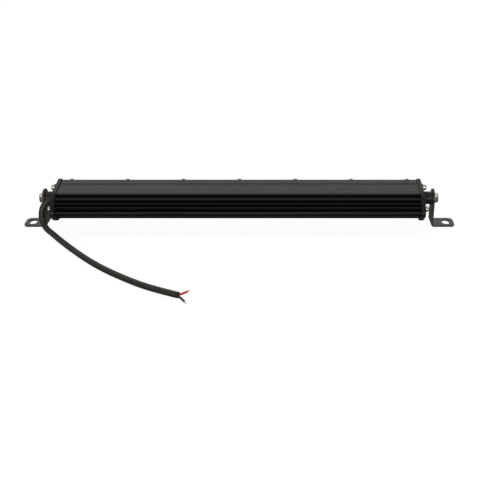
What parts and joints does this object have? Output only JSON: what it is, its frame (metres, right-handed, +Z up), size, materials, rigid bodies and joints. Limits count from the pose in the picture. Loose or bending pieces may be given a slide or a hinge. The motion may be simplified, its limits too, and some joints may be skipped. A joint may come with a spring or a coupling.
{
  "type": "led light bar",
  "caption": "Slim single-row LED light bar with a finned rear, pivoting foot brackets at both ends and a bare-ended power cable.",
  "frame": {"origin": "on the ground, midway between the two foot slots", "axes": "+X along the bar, +Y the way the lens faces, +Z up from the surface the feet stand on"},
  "size_m": [0.5996, 0.2563, 0.0592],
  "materials": {
    "black_aluminium": "satin black anodised",
    "black_cast": "fine-textured black powder coat",
    "black_steel": "satin black powder coat",
    "lens": "clear polycarbonate",
    "seal": "matt silicone",
    "zinc_steel": "zinc plated",
    "reflector": "vacuum metallised",
    "board_white": "white solder mask",
    "emitter": "phosphor yellow",
    "board_green": "green solder mask",
    "nylon": "black nylon",
    "ferrite": "dull ferrite",
    "bare_aluminium": "bright sleeve",
    "chip": "matt epoxy",
    "cable_rubber": "satin PVC jacket",
    "wire_red": "gloss PVC",
    "wire_black": "gloss PVC",
    "tinned_copper": "tinned strand"
  },
  "bodies": {
    "lamp": {"housing_extrusion": "black_aluminium", "front_bezel": "black_aluminium", "lens_cover": "lens", "lens_gasket": "seal", "bezel_screws": "zinc_steel", "reflector_strip": "reflector", "led_board": "board_white", "led_emitters": "emitter", "thermal_pad": "seal", "board_screws": "zinc_steel", "driver_board": "board_green", "driver_spacers": "nylon", "driver_screws": "zinc_steel", "driver_inductor": "ferrite", "driver_capacitors": "bare_aluminium", "driver_chips": "chip", "lead_red": "wire_red", "lead_black": "wire_black", "led_lead_red": "wire_red", "led_lead_black": "wire_black", "end_cap_left": "black_cast", "end_cap_right": "black_cast", "end_gasket_left": "seal", "end_gasket_right": "seal", "cap_screws": "zinc_steel", "cap_screw_washers": "zinc_steel", "pivot_bolts": "zinc_steel", "pivot_washers": "zinc_steel", "pivot_spacers": "nylon", "cable_grommet": "cable_rubber", "cable_jacket": "cable_rubber", "wire_red": "wire_red", "wire_black": "wire_black", "wire_tips": "tinned_copper"},
    "bracket_right_body": {"bracket_right": "black_steel"},
    "bracket_left_body": {"bracket_left": "black_steel"}
  },
  "joints": [
    {"name": "bracket_right_pivot", "type": "hinge", "parent": "lamp", "child": "bracket_right_body", "pos_m": [0.26795, 0, 0.0385], "axis": [1, 0, 0], "range_deg": [-90, 90]},
    {"name": "bracket_left_pivot", "type": "hinge", "parent": "lamp", "child": "bracket_left_body", "pos_m": [-0.26795, 0, 0.0385], "axis": [1, 0, 0], "range_deg": [-4, 90]}
  ]
}
